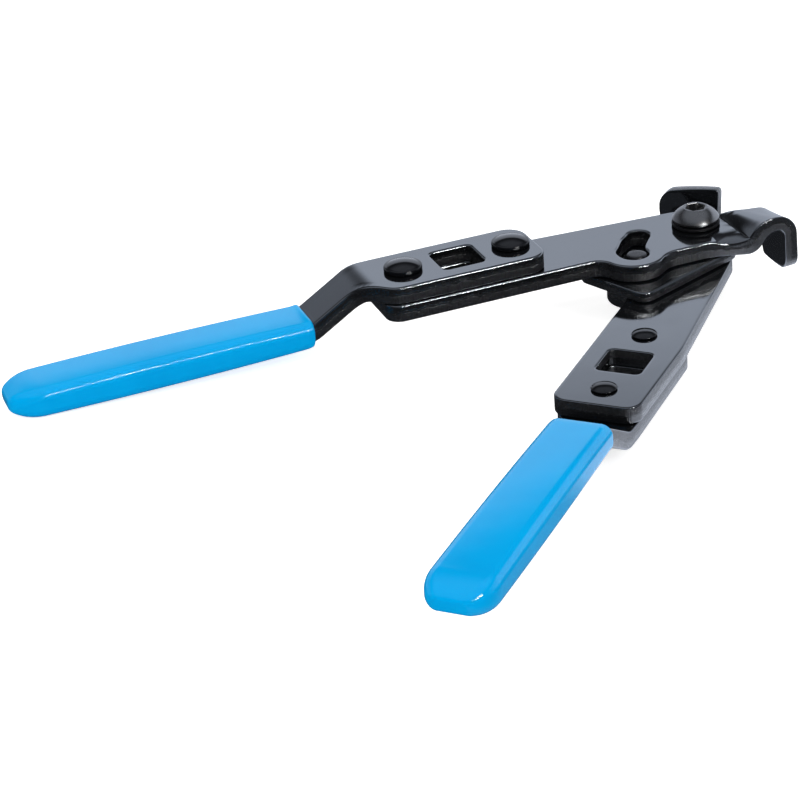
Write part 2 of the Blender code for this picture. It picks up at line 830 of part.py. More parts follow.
arm_pieces = [
    freeze(make_jaw_plate("jaw_plate", coated), cutters),
    freeze(make_handle_plate("handle_plate", coated), cutters),
    freeze(make_grip("grip", vinyl), cutters),
    freeze(make_rivet("front_rivet", drive_ahead - rivet_pitch / 2, fastener), cutters),
    freeze(make_rivet("rear_rivet", drive_ahead + rivet_pitch / 2, fastener), cutters)]
for piece in arm_pieces:
    hide_cutter(piece)
    for side, frame in (("upper", upper_frame), ("lower", lower_frame)):
        twin = bpy.data.objects.new(side + "_" + piece.name, piece.data)
        pliers.objects.link(twin)
        twin.parent = frame
        twin.matrix_local = piece.matrix_world
for piece in arm_pieces:
    bpy.data.objects.remove(piece, do_unlink=True)

centre = make_centre_plate(coated)
pin = make_pin(fastener)
bush, screw, washers, nut = make_pivot(fastener)
loose = [freeze(piece, pliers) for piece in (centre, nut, screw)]
for piece in (*loose, pin, bush, *washers):
    piece.parent = whole

bpy.context.view_layer.update()
corners = []
for piece in pliers.objects:
    if piece.type == "MESH":
        seen = piece.evaluated_get(bpy.context.evaluated_depsgraph_get())
        corners += [piece.matrix_world @ v.co for v in seen.data.vertices]
low = Vector([min(c[axis] for c in corners) for axis in range(3)])
high = Vector([max(c[axis] for c in corners) for axis in range(3)])
whole.location = (-(low.x + high.x) / 2, -(low.y + high.y) / 2, -low.z)
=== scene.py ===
import json
import math

import bpy
import numpy as np
from mathutils import Matrix, Vector
from mathutils.geometry import delaunay_2d_cdt


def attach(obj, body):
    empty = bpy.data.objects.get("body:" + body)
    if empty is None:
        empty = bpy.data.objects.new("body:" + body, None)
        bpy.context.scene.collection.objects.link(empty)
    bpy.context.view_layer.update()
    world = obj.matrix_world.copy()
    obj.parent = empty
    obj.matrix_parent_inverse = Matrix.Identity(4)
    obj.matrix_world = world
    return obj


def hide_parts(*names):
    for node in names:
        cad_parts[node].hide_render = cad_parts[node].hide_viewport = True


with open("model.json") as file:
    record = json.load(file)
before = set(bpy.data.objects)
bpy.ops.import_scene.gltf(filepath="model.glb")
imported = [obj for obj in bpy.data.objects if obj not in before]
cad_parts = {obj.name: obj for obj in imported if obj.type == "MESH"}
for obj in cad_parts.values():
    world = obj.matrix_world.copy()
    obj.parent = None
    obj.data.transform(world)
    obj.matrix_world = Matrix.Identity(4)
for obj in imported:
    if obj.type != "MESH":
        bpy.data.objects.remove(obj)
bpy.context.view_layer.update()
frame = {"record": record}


# Jaw plates
# Two 5 mm steel stampings with the same outline. Each is blanked flat with its holes and cam
# slot, then pressed round a former into the goose-neck jaw, and coated glossy black.

mm = 0.001
# The arms cross at the pivot, and the lower one is the upper one turned over. In an arm's frame x
# runs from the pivot towards its handle, y towards the other handle, and z out of the tool.
pivot = Vector(frame["record"]["behaviour"]["joints"][0]["pos_m"])
half_opening = math.radians(22.74)
upper_place = Matrix.Translation(pivot) @ Matrix.Rotation(math.pi - half_opening, 4, "Z")
lower_place = (Matrix.Translation(pivot) @ Matrix.Rotation(math.pi, 4, "X")
               @ Matrix.Rotation(math.pi - half_opening, 4, "Z"))
arms = (("upper", upper_place), ("lower", lower_place))

jaw_thickness = 5.0 * mm
jaw_low = 1.8 * mm
jaw_middle = jaw_low + jaw_thickness / 2
drive_centre = np.array([75.0, -3.4]) * mm
bulge_centre = np.array([25.0, 9.7]) * mm
bulge_radius = 9.3 * mm
bulge_side = 14.2 * mm
jaw_side = 17.8 * mm
crease = 8.4 * mm
rivet_hole = 3.25 * mm
pivot_bore = 5.8 * mm

# The punch rolls the upper rim over, the lower one keeps a small burr side. The flat faces start
# a border's width inside the rim, and their net of points keeps clear of it.
roll_over = 0.55 * mm
burr_side = 0.30 * mm
border = 0.5 * mm
net_room = 1.6 * mm
point_gap = 0.45 * mm
thinnest_cell = 2e-10

# The goose neck's bends and straight run, and what changes from its inner to its outer side: neck
# angle, shoulder radius, wall angle, reach, and depth of the free end below the tool's middle.
neck_bend = 3.0 * mm
neck_straight = 1.8 * mm
neck_ease = 7.0 * mm
neck_angles = np.radians([25.0, 52.0])
shoulder_radii = np.array([3.0, 4.5]) * mm
wall_angles = np.radians([81.0, 88.0])
jaw_reaches = np.array([24.5, 22.7]) * mm
end_depths = np.array([7.5, 6.0]) * mm

# The press draws the flank down before the crease, and draws the wall thinner and longer.
flank_start = 2.0 * mm
flank_depth = 1.5 * mm
flank_width = 3.0 * mm
wall_thinning = 0.16
thinning_run = 12 * mm
lower_wall_drawn = 0.06
wall_spread = 0.6
spread_run = 6 * mm


def corner_run(corners, step=point_gap):
    """A run through corners (x, y, radius) in mm: straight between them, and round each corner
    the arc of its radius that touches both straights, swung evenly from one to the other."""
    spots = np.array(corners, float) * mm
    here, radii = spots[:, :2], spots[:, 2]
    runs = [here[:1]]
    for back, at, ahead, radius in zip(here[:-2], here[1:-1], here[2:], radii[1:-1]):
        to_back = (back - at) / np.linalg.norm(back - at)
        to_ahead = (ahead - at) / np.linalg.norm(ahead - at)
        half = math.acos(float(np.clip(to_back @ to_ahead, -1, 1))) / 2
        nearly_straight = half > math.radians(89.9)
        if radius == 0 or nearly_straight:
            runs.append(at[None])
            continue
        halfway = (to_back + to_ahead) / np.linalg.norm(to_back + to_ahead)
        middle = at + halfway * radius / math.sin(half)
        first = at + to_back * radius / math.tan(half) - middle
        last = at + to_ahead * radius / math.tan(half) - middle
        swing = math.pi - 2 * half
        share = np.linspace(0, 1, max(3, int(swing * radius / step) + 2))[:, None]
        swung = np.sin((1 - share) * swing) * first + np.sin(share * swing) * last
        runs.append(middle + swung / math.sin(swing))
    runs.append(here[-1:])
    return np.vstack(runs)


def even_loop(points, step=point_gap):
    """A closed loop with its points moved to even distances along it."""
    ring = np.vstack([points, points[:1]])
    length = np.concatenate([[0], np.cumsum(np.linalg.norm(np.diff(ring, axis=0), axis=1))])
    places = np.linspace(0, length[-1], max(12, round(length[-1] / step)), endpoint=False)
    return np.column_stack([np.interp(places, length, ring[:, 0]),
                            np.interp(places, length, ring[:, 1])])


def circle_loop(centre, radius, step=point_gap):
    """A hole's loop, run clockwise so that the steel is on its left."""
    turns = -np.linspace(0, math.tau, max(24, round(math.tau * radius / step)), endpoint=False)
    return np.asarray(centre) + radius * np.column_stack([np.cos(turns), np.sin(turns)])


def inside(points, loop):
    """True for points inside a loop: an odd number of its edges lie to their right."""
    x, y = points[:, :1], points[:, 1:]
    x0, y0 = loop[:, 0], loop[:, 1]
    x1, y1 = np.roll(x0, -1), np.roll(y0, -1)
    spans = (y0 > y) != (y1 > y)
    rise = np.where(y1 == y0, 1e-12, y1 - y0)
    return (spans & (x < x0 + (y - y0) * (x1 - x0) / rise)).sum(axis=1) % 2 == 1


def net_points(loops, low, high, pitch):
    """Points of an even net in a rectangle, kept where they lie in the steel and their nearest rim
    point is further off than the net's room."""
    xs, ys = np.arange(low[0], high[0], pitch), np.arange(low[1], high[1], pitch)
    grid = np.array(np.meshgrid(xs, ys)).reshape(2, -1).T
    keep = inside(grid, loops[0])
    for hole in loops[1:]:
        keep &= ~inside(grid, hole)
    net, rim = grid[keep], np.vstack(loops)
    apart = (rim[:, 0] - net[:, :1]) ** 2 + (rim[:, 1] - net[:, 1:]) ** 2
    return net[apart.min(axis=1) > net_room ** 2]


def blank(name, outline, holes, thickness, nets, form, place, slots):
    """A plate from its flat pattern. The rolled edge is a profile of insets and levels carried
    round every loop; flat faces span the loops; form presses the flat pattern into shape."""
    half = thickness / 2
    swing = np.linspace(0, math.pi / 2, 5)
    top = [(roll_over * (1 - math.sin(a)), half - roll_over * (1 - math.cos(a))) for a in swing]
    low = [(burr_side * (1 - math.cos(a)), -half + burr_side * (1 - math.sin(a))) for a in swing]
    profile = np.array([(roll_over + border, half)] + top + low + [(burr_side + border, -half)])
    loops = [outline, *holes]
    spots, faces, slot_of, uvs = [], [], [], []
    count, first_rows = 0, []
    for loop in loops:
        tangent = np.roll(loop, -1, axis=0) - np.roll(loop, 1, axis=0)
        tangent /= np.linalg.norm(tangent, axis=1)[:, None]
        inward = np.column_stack([-tangent[:, 1], tangent[:, 0]])
        grid = loop[:, None] + inward[:, None] * profile[None, :, :1]
        level = np.broadcast_to(profile[None, :, 1:], grid[..., :1].shape)
        spots.append(np.concatenate([grid, level], axis=2).reshape(-1, 3))
        rows, across = len(loop), len(profile)
        j, k = np.meshgrid(np.arange(rows), np.arange(across - 1), indexing="ij")
        after = (j + 1) % rows
        quads = np.stack([j * across + k, j * across + k + 1, after * across + k + 1,
                          after * across + k], axis=-1).reshape(-1, 4) + count
        faces += quads.tolist()
        steps = np.linalg.norm(np.roll(loop, -1, axis=0) - loop, axis=1)
        along = np.concatenate([[0], np.cumsum(steps)])
        u = np.stack([along[j], along[j], along[j + 1], along[j + 1]], axis=-1).reshape(-1, 4)
        v = np.stack([profile[k, 1], profile[k + 1, 1], profile[k + 1, 1], profile[k, 1]],
                     axis=-1).reshape(-1, 4)
        uvs.append(np.stack([u, v], axis=-1).reshape(-1, 2))
        slot_of.append((k == len(top)).astype(int).reshape(-1))
        first_rows.append(count + np.arange(rows) * across)
        count += rows * across
    rims = [s.reshape(len(loop), len(profile), 3)[:, 0, :2] for s, loop in zip(spots, loops)]
    net = np.vstack([net_points(rims, *area) for area in nets])
    flat = np.vstack(rims + [net])
    edges, start = [], 0
    for loop in loops:
        ring = start + np.arange(len(loop))
        edges += np.column_stack([ring, np.roll(ring, -1)]).tolist()
        start += len(loop)
    _, _, found, origin, _, _ = delaunay_2d_cdt([Vector(p) for p in flat], edges, [], 0, 1e-8)
    back_to = np.array([came[0] for came in origin])
    whole = back_to[np.array(found)]
    middle = flat[whole].mean(axis=1)
    a, b, c = flat[whole[:, 0]], flat[whole[:, 1]], flat[whole[:, 2]]
    spread = (b - a)[:, 0] * (c - a)[:, 1] - (b - a)[:, 1] * (c - a)[:, 0]
    keep = inside(middle, rims[0]) & (abs(spread) > thinnest_cell)
    for rim in rims[1:]:
        keep &= ~inside(middle, rim)
    whole[spread < 0] = whole[spread < 0][:, ::-1]
    cells = whole[keep]
    rim_ids = np.concatenate(first_rows)
    upper_ids = np.concatenate([rim_ids, count + np.arange(len(net))])
    lower_ids = np.concatenate([rim_ids + len(profile) - 1, count + len(net) + np.arange(len(net))])
    spots.append(np.column_stack([net, np.full(len(net), half)]))
    spots.append(np.column_stack([net, np.full(len(net), -half)]))
    faces += upper_ids[cells].tolist()
    faces += lower_ids[cells][:, ::-1].tolist()
    uvs += [flat[cells].reshape(-1, 2), flat[cells[:, ::-1]].reshape(-1, 2)]
    slot_of.append(np.zeros(2 * len(cells), int))
    return new_piece(name, form(np.vstack(spots)), faces, place, slots, np.vstack(uvs),
                     np.concatenate(slot_of))


def new_piece(name, spots, faces, place, slots, uvs=None, slot_of=None):
    """A mesh object at the origin whose points are carried to their place in the tool."""
    turn = np.array(place)
    mesh = bpy.data.meshes.new(name)
    mesh.from_pydata((spots @ turn[:3, :3].T + turn[:3, 3]).tolist(), [], faces)
    if uvs is not None:
        pattern = mesh.uv_layers.new(name="flat_pattern")
        pattern.data.foreach_set("uv", uvs.astype(np.float32).ravel())
    for look in slots:
        mesh.materials.append(look)
    if slot_of is not None:
        mesh.polygons.foreach_set("material_index", slot_of.astype(np.int32))
    mesh.shade_smooth()
    mesh.validate()
    piece = bpy.data.objects.new(name, mesh)
    bpy.context.scene.collection.objects.link(piece)
    return piece


def linear(hex_colour):
    """An sRGB hex colour as linear red, green, blue and alpha."""
    parts = [int(hex_colour[i:i + 2], 16) / 255 for i in (1, 3, 5)]
    return [p / 12.92 if p <= 0.04045 else ((p + 0.055) / 1.055) ** 2.4 for p in parts] + [1.0]


def add(tree, kind, inputs=(), **settings):
    """Adds a node: its settings by name, then its inputs as values or as links from sockets."""
    node = tree.nodes.new("ShaderNode" + kind)
    for name, value in settings.items():
        setattr(node, name, value)
    for name, value in dict(inputs).items():
        if isinstance(value, bpy.types.NodeSocket):
            tree.links.new(value, node.inputs[name])
        else:
            node.inputs[name].default_value = value
    return node


# The inputs of a MapRange node, in the order in which the rows below give them.
span = ("Value", "From Min", "From Max", "To Min", "To Max")


def new_look(name):
    """A material with an empty tree, ready for its nodes."""
    look = bpy.data.materials.new(name)
    look.use_nodes = True
    look.node_tree.nodes.clear()
    return look, look.node_tree


def coated_steel(name, die_line=False):
    """Black oxide on steel, oiled: a dark glassy skin that mirrors pale surroundings as slate grey.
    Fine grain from the rolled sheet shows as slight changes of gloss, with a few rubbed specks.
    The die leaves a step just past the crease, deepest at the inner side."""
    grain_long, grain_wide = 16.667 * mm, 1.1111 * mm
    cloud_size, speck_size = 11.111 * mm, 0.71429 * mm
    look, tree = new_look(name)
    place = add(tree, "TexCoord")
    stretch = add(tree, "Mapping", {"Vector": place.outputs["UV"],
                                    "Scale": (1 / grain_long, 1 / grain_wide, 1)})
    grain = add(tree, "TexNoise", {"Vector": stretch.outputs[0], "Scale": 1.0, "Detail": 3.0})
    clouds, specks = (add(tree, "TexNoise", {"Vector": place.outputs["Object"],
                                             "Scale": 1 / size, "Detail": detail})
                      for size, detail in ((cloud_size, 4.0), (speck_size, 1.0)))
    gloss, rubbed = (add(tree, "MapRange", zip(span, row))
                     for row in ((clouds.outputs[0], 0.3, 0.7, 0.05, 0.10),
                                 (specks.outputs[0], 0.76, 0.80, 0.0, 1.0)))
    colour = add(tree, "Mix", {"Factor": rubbed.outputs[0], "A": linear("#0d0e10"),
                               "B": linear("#2c2e33")}, data_type="RGBA")
    ripple = add(tree, "Bump", {"Height": grain.outputs[0], "Strength": 0.03,
                                "Distance": 0.02 * mm})
    peel = add(tree, "Bump", {"Height": clouds.outputs[0], "Strength": 0.05, "Distance": 0.10 * mm,
                              "Normal": ripple.outputs[0]})
    if die_line:
        step_width = 0.9 * mm
        split = add(tree, "SeparateXYZ", {"Vector": place.outputs["UV"]})
        ramp, fade = (add(tree, "MapRange", zip(span, row))
                      for row in ((split.outputs["X"], -crease - step_width, -crease, 1.0, 0.0),
                                  (split.outputs["Y"], 0.0, jaw_side, 1.0, 0.0)))
        step = add(tree, "Math", {0: ramp.outputs[0], 1: fade.outputs[0]}, operation="MULTIPLY")
        peel = add(tree, "Bump", {"Height": step.outputs[0], "Strength": 1.0,
                                  "Distance": step_width, "Normal": peel.outputs[0]})
    shader = add(tree, "BsdfPrincipled", {"Base Color": colour.outputs["Result"], "IOR": 2.95,
                                          "Specular Tint": (0.92, 0.96, 1.0, 1.0),
                                          "Roughness": gloss.outputs[0], "Normal": peel.outputs[0]})
    add(tree, "OutputMaterial", {"Surface": shader.outputs[0]})
    return look


def sheared_edge(name):
    """The punched rim of the plate: a smooth sheared band, then torn steel with upright scores,
    blackened like the rest but rougher, so that it is dark except where light grazes it. Its raised
    bits are coloured lighter, partly as rough bare steel and partly as painted glints. The scores
    are drawn 0.4 mm apart, coarser than real ones, so that they show in the render."""
    score_apart, score_long, tear_long = 0.38462 * mm, 11.111 * mm, 1.1111 * mm
    tear_high, limit_long, limit_swing = 0.76923 * mm, 3.3333 * mm, 2.2 * mm
    look, tree = new_look(name)
    place = add(tree, "TexCoord")
    scores_at, limit_at, torn_at = (
        add(tree, "Mapping", {"Vector": place.outputs["UV"], "Scale": scale})
        for scale in ((1 / score_apart, 1 / score_long, 1), (1 / limit_long, 0, 1),
                      (1 / tear_long, 1 / tear_high, 1)))
    scores, wave = (add(tree, "TexNoise", {"Vector": at.outputs[0], "Scale": 1.0, "Detail": detail})
                    for at, detail in ((scores_at, 3.0), (limit_at, 2.0)))
    torn = add(tree, "TexNoise", {"Vector": torn_at.outputs[0], "Scale": 1.0, "Detail": 5.0,
                                  "Roughness": 0.65})
    split = add(tree, "SeparateXYZ", {"Vector": place.outputs["UV"]})
    limit = add(tree, "Math", {0: wave.outputs[0], 1: limit_swing, 2: split.outputs["Y"]},
                operation="MULTIPLY_ADD")
    band = add(tree, "MapRange", zip(span, (limit.outputs[0], 0.9 * mm, 2.1 * mm, 1.0, 0.0)))
    depth = add(tree, "Math", {0: torn.outputs[0], 1: band.outputs[0]}, operation="MULTIPLY")
    torn_bump = add(tree, "Bump", {"Height": depth.outputs[0], "Strength": 1.0,
                                   "Distance": 0.30 * mm})
    score_bump = add(tree, "Bump", {"Height": scores.outputs[0], "Strength": 0.9,
                                    "Distance": 0.20 * mm, "Normal": torn_bump.outputs[0]})
    torn_steel_and_painted_glint, scratch, rough = (add(tree, "MapRange", zip(span, row))
                             for row in ((depth.outputs[0], 0.45, 0.75, 0.0, 1.0),
                                         (scores.outputs[0], 0.52, 0.66, 0.0, 0.15),
                                         (band.outputs[0], 0.0, 1.0, 0.16, 0.30)))
    # Raised torn steel is painted lighter: partly rough bare steel, partly painted glints.
    black = add(tree, "Mix", {"Factor": torn_steel_and_painted_glint.outputs[0], "A": linear("#08090b"),
                              "B": linear("#26282d")}, data_type="RGBA")
    colour = add(tree, "Mix", {"Factor": scratch.outputs[0], "A": black.outputs["Result"],
                               "B": linear("#2c2e33")}, data_type="RGBA")
    shader = add(tree, "BsdfPrincipled", {"Base Color": colour.outputs["Result"], "IOR": 2.1,
                                          "Roughness": rough.outputs[0],
                                          "Normal": score_bump.outputs[0]})
    add(tree, "OutputMaterial", {"Surface": shader.outputs[0]})
    return look


def goose_neck(share):
    """The bent jaw's neck angle, level run, shoulder radius, wall angle and whole length at a share
    of its width, 0 at the inner side. The strip bends up by the neck angle, climbs straight, eases
    over to level, runs level, turns over the shoulder and ends in a wall that reaches a set place.
    """
    neck = neck_angles[0] + np.ptp(neck_angles) * share
    shoulder = shoulder_radii[0] + np.ptp(shoulder_radii) * share
    wall = wall_angles[0] + np.ptp(wall_angles) * share
    reach = jaw_reaches[0] - np.ptp(jaw_reaches) * share - crease
    end_depth = end_depths[0] - np.ptp(end_depths) * share
    climb = (neck_bend + neck_ease) * np.sin(neck) + neck_straight * np.cos(neck)
    rise = (neck_bend + neck_ease) * (1 - np.cos(neck)) + neck_straight * np.sin(neck)
    drop = jaw_middle + rise - shoulder * (1 - np.cos(wall)) + end_depth
    level_run = np.maximum(reach - climb - shoulder * np.sin(wall) - drop / np.tan(wall), 0)
    length = ((neck_bend + neck_ease) * neck + neck_straight + level_run + shoulder * wall
              + drop / np.sin(wall))
    return neck, level_run, shoulder, wall, length


def drawn_down(x, y):
    """How far the press drew the top face down along the outer side just before the crease: a hump
    along x times the square of the way across the last few millimetres to the side."""
    along = np.clip((flank_start - x) / (flank_start + crease), 0, 1)
    side = bulge_side + (jaw_side - bulge_side) * np.clip(-x / crease, 0, 1)
    across = np.clip((y - side + flank_width) / flank_width, 0, 1)
    return flank_depth * np.sin(math.pi * along ** 1.3) * across ** 2


def press_jaw(spots, drawn_on=0.0):
    """Presses the flat pattern: past the crease, the distance along the strip becomes a place on
    the neck's middle line, and the level is laid off square to it. The wall is drawn thinner, and
    by a share of its length, longer and a little wider."""
    x, y, level = spots.T
    s = np.maximum(-crease - x, 0.0)
    neck, level_run, shoulder, wall, _ = goose_neck(y / jaw_side)
    in_bend = np.minimum(s / neck_bend, neck)
    past_bend = s - neck_bend * neck
    in_straight = np.clip(past_bend, 0, neck_straight)
    past_straight = past_bend - neck_straight
    in_ease = np.clip(past_straight / neck_ease, 0, neck)
    past_ease = past_straight - neck_ease * neck
    in_level = np.clip(past_ease, 0, level_run)
    in_shoulder = np.clip((past_ease - level_run) / shoulder, 0, wall)
    in_wall = np.maximum(past_ease - level_run - shoulder * wall, 0) * (1 + drawn_on)
    side = y * (1 + wall_spread * drawn_on * np.clip(in_wall / spread_run, 0, 1))
    heading = in_bend - in_ease - in_shoulder
    along = (neck_bend * np.sin(in_bend) + in_straight * np.cos(neck)
             + neck_ease * (np.sin(neck) - np.sin(neck - in_ease)) + in_level
             + shoulder * np.sin(in_shoulder) + in_wall * np.cos(wall))
    rise = (neck_bend * (1 - np.cos(in_bend)) + in_straight * np.sin(neck)
            + neck_ease * (np.cos(neck - in_ease) - np.cos(neck))
            - shoulder * (1 - np.cos(in_shoulder)) - in_wall * np.sin(wall))
    thin = 1 - wall_thinning * np.clip(s / thinning_run, 0, 1) ** 2
    top_share = np.clip(0.5 + level / jaw_thickness, 0, 1)
    return np.column_stack([np.where(s > 0, -crease - along, x) + np.sin(heading) * level * thin,
                            side, jaw_middle + rise + np.cos(heading) * level * thin
                            - drawn_down(x, side) * top_share])


def blend(one, other, reach=1.6 * mm):
    """The lesser of two distances, eased where they are nearly alike, so that corners are round."""
    share = np.clip(0.5 + (other - one) / (2 * reach), 0, 1)
    return other * (1 - share) + one * share - reach * share * (1 - share)


pin_reach = 26.3 * mm
pin_travel = 5.0 * mm
half_closing = math.radians(18.5)


def slot_loop():
    """The cam slot's rim: on rays from its middle, the distance, found by halving, at which the
    nearest of the slanting slot, the pin's pocket and the pin's path is left."""
    slot_room, pocket_room, pin_room = 3.45 * mm, 4.1 * mm, 3.15 * mm
    first, last = np.array([18.3, -1.3]) * mm, np.array([25.6, 7.1]) * mm
    middle = np.array([23.4, 5.6]) * mm
    turns = -np.linspace(0, math.tau, 120, endpoint=False)
    rays = np.column_stack([np.cos(turns), np.sin(turns)])
    closing = np.linspace(0, 1, 9)[:, None]
    reach, angle = pin_reach - pin_travel * closing, half_opening - half_closing * closing
    path = np.hstack([reach * np.cos(angle), reach * np.sin(angle)])
    near, far = np.zeros(len(rays)), np.full(len(rays), 14 * mm)
    for _ in range(24):
        half = (near + far) / 2
        spots = middle + rays * half[:, None]
        share = np.clip((spots - first) @ (last - first) / ((last - first) @ (last - first)), 0, 1)
        slot = np.linalg.norm(spots - first - share[:, None] * (last - first), axis=1) - slot_room
        pocket = np.linalg.norm(spots - bulge_centre, axis=1) - pocket_room
        room = np.linalg.norm(spots[:, None] - path[None], axis=2).min(axis=1) - pin_room
        within = blend(blend(slot, pocket), room) < 0
        near, far = np.where(within, half, near), np.where(within, far, half)
    return even_loop(middle + rays * near[:, None])


jaw_end_inner = (crease + float(goose_neck(0.0)[4])) / mm
jaw_end_outer = (crease + float(goose_neck(1.0)[4])) / mm

# The outline in mm: the strap's square end, the bulge with a fillet on each side, the jaw, and
# the outer side back to the strap.
strap_end, strap_inner, strap_outer, strap_corner = 100.9, 9.05, -15.85, 4.5
flank, end_side = bulge_side / mm, jaw_side / mm
bulge_edge = []
for side, level, fillet in ((1, strap_inner * mm, 5 * mm), (-1, bulge_side, 8 * mm)):
    away = bulge_radius + fillet
    rise = level + fillet - bulge_centre[1]
    across = side * math.sqrt(away ** 2 - rise ** 2)
    facing = math.atan2(-rise, -across) % math.tau
    swing = np.linspace(math.radians(270), facing, 12)[:, None]
    around = np.hstack([np.cos(swing), np.sin(swing)])
    bulge_edge.append(bulge_centre + [across, rise] + fillet * around)
ends = [math.atan2(*(edge[-1] - bulge_centre)[::-1]) for edge in bulge_edge]
turn = np.linspace(ends[0], ends[1] % math.tau, 30)[1:-1, None]
bulge_arc = bulge_centre + bulge_radius * np.hstack([np.cos(turn), np.sin(turn)])
jaw_outline = even_loop(np.vstack([
    corner_run([(strap_end, -3, 0), (strap_end, strap_inner, strap_corner), (60, strap_inner, 0)]),
    bulge_edge[0], bulge_arc, bulge_edge[1][::-1],
    corner_run([(9, flank, 0), (0, flank, 20), (-8.7, end_side, 8),
                (-jaw_end_outer, end_side, 3.5), (-jaw_end_inner, 0.0, 1.5), (-26.0, 0.0, 6),
                (-22.0, 1.2, 8), (-15.5, 0.6, 8), (-8.7, -4.2, 6), (0, -11.7, 10),
                (63, -16.25, 60), (strap_end, strap_outer, strap_corner),
                (strap_end, -3, 0)])[:-1]]))
half, corner = 6.5, 1.7
drive_hole = even_loop(drive_centre + corner_run([
    (0, -half, 0), (-half, -half, corner), (-half, half, corner), (half, half, corner),
    (half, -half, corner), (0, -half, 0)])[:-1])
rivet_off = 16.8 * mm
rivet_places = [drive_centre + np.array([side * rivet_off, 0]) for side in (-1, 1)]
rivet_holes = [circle_loop(spot, rivet_hole) for spot in rivet_places]

jaw_look = coated_steel("oiled_black_oxide_on_pressed_steel", die_line=True)
jaw_forms = {"upper": press_jaw, "lower": lambda spots: press_jaw(spots, lower_wall_drawn)}
face_look = coated_steel("oiled_black_oxide_on_rolled_steel")
edge_look = sheared_edge("punched_edge_of_blackened_steel")
# Each net of inner points is a low corner, a high corner and a spacing: coarse on the strap, fine
# on the jaw.
jaw_nets = [((-8 * mm, -16 * mm), (99 * mm, 19 * mm), 4 * mm),
            ((-60 * mm, -12 * mm), (-8 * mm, 18 * mm), 0.8 * mm)]
jaw_holes = [drive_hole, *rivet_holes, circle_loop((0, 0), pivot_bore), slot_loop()]
for side, place in arms:
    plate = blank(side + "_jaw_plate_finished", jaw_outline, jaw_holes, jaw_thickness, jaw_nets,
                  jaw_forms[side], place, [jaw_look, edge_look])
    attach(plate, side + "_arm")
    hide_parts(side + "_jaw_plate")


# Handle plates
# The same 5 mm steel. A strap is riveted on the jaw plate, and behind its shoulder an offset
# bend brings it down to the middle of the tool, where the narrow tang carries the grip.

handle_middle = 9.55 * mm
offset_start = 102.0 * mm
offset_radius = 8.5 * mm
offset_angle = math.radians(31)
tang_level = -0.8 * mm
tang_dip = math.radians(0.8)


def offset_level(x):
    """Level and heading of the handle plate at x: an arc down, a straight slope, an arc back to
    the tang, which dips a little towards its end."""
    run = offset_radius * math.sin(offset_angle)
    drop = offset_radius * (1 - math.cos(offset_angle))
    back_run = offset_radius * (math.sin(offset_angle) - math.sin(tang_dip))
    back_drop = offset_radius * (math.cos(tang_dip) - math.cos(offset_angle))
    slope_run = (handle_middle - tang_level - drop - back_drop) / math.tan(offset_angle)
    first = np.clip(x - offset_start, 0, run)
    past = x - offset_start - run
    slope = np.clip(past, 0, slope_run)
    second = np.clip(past - slope_run, 0, back_run)
    tang = np.maximum(past - slope_run - back_run, 0)
    first_fall = offset_radius - np.sqrt(offset_radius ** 2 - first ** 2)
    second_fall = (np.sqrt(offset_radius ** 2 - (run - second) ** 2)
                   - offset_radius * math.cos(offset_angle))
    level = (handle_middle - first_fall - slope * math.tan(offset_angle) - second_fall
             - tang * math.tan(tang_dip))
    return level, np.where(second > 0, np.arcsin((run - second) / offset_radius),
                           np.arcsin(first / offset_radius))


def press_handle(spots):
    """Lays each level of the flat pattern off square to the offset bend's middle line."""
    x, y, level = spots.T
    middle, heading = offset_level(x)
    return np.column_stack([x + np.sin(heading) * level, y, middle + np.cos(heading) * level])


# The outline in mm: the strap over the jaw plate, its shoulder, and the narrow tang.
front, shoulder_at, tang_at, tang_end = 51, 98.5, 107.5, 204
handle_outline = even_loop(corner_run([
    (front, 0, 0), (front, -15.15, 6), (shoulder_at, -15.15, 6), (tang_at, -14.8, 6),
    (tang_end, -14.8, 5), (tang_end, -0.8, 5), (tang_at, -0.8, 6), (shoulder_at, 8.35, 6),
    (front, 8.35, 5.5), (front, 0, 0)])[:-1])
handle_nets = [((front * mm, -15 * mm), (100 * mm, 9 * mm), 4 * mm),
               ((100 * mm, -15 * mm), (128 * mm, 9 * mm), 1 * mm),
               ((128 * mm, -15 * mm), (tang_end * mm, 9 * mm), 5 * mm)]
for side, place in arms:
    plate = blank(side + "_handle_plate_finished", handle_outline, [drive_hole, *rivet_holes],
                  jaw_thickness, handle_nets, press_handle, place, [face_look, edge_look])
    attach(plate, side + "_arm")
    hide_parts(side + "_handle_plate")


# Rivets
# Steel rivets with flat-domed heads on the handle plate. Their tails are set into low domes on
# the jaw plate's inner face. They are blackened and polished by handling.

handle_top = 12.05 * mm
seat_gap = 0.25 * mm


def grid_faces(rows, columns):
    """Four-sided faces of a grid of points whose rows close on themselves."""
    k, j = np.meshgrid(np.arange(rows - 1), np.arange(columns), indexing="ij")
    after = (j + 1) % columns
    return np.stack([k * columns + j, k * columns + after, (k + 1) * columns + after,
                     (k + 1) * columns + j], axis=-1).reshape(-1, 4)


def turned(name, profile, place, slots, steps=64):
    """A profile of (radius, level) in mm carried round its axis. Where the radius is nothing the
    ring is one point, and a profile that ends where it starts closes on itself."""
    profile = np.array(profile, float) * mm
    turns = np.linspace(0, math.tau, steps, endpoint=False)
    rings = np.stack([profile[:, :1] * np.cos(turns), profile[:, :1] * np.sin(turns),
                      np.broadcast_to(profile[:, 1:], (len(profile), steps))], axis=-1)
    ids = np.arange(len(profile) * steps).reshape(len(profile), steps)
    ids[profile[:, 0] == 0] = ids[profile[:, 0] == 0][:, :1]
    if (profile[0] == profile[-1]).all():
        ids[-1] = ids[0]
    kept = np.unique(ids)
    cells = ids.reshape(-1)[grid_faces(*ids.shape)[:, ::-1]]
    faces = [list(dict.fromkeys(cell)) for cell in np.searchsorted(kept, cells).tolist()]
    return new_piece(name, rings.reshape(-1, 3)[kept], faces, place, slots)


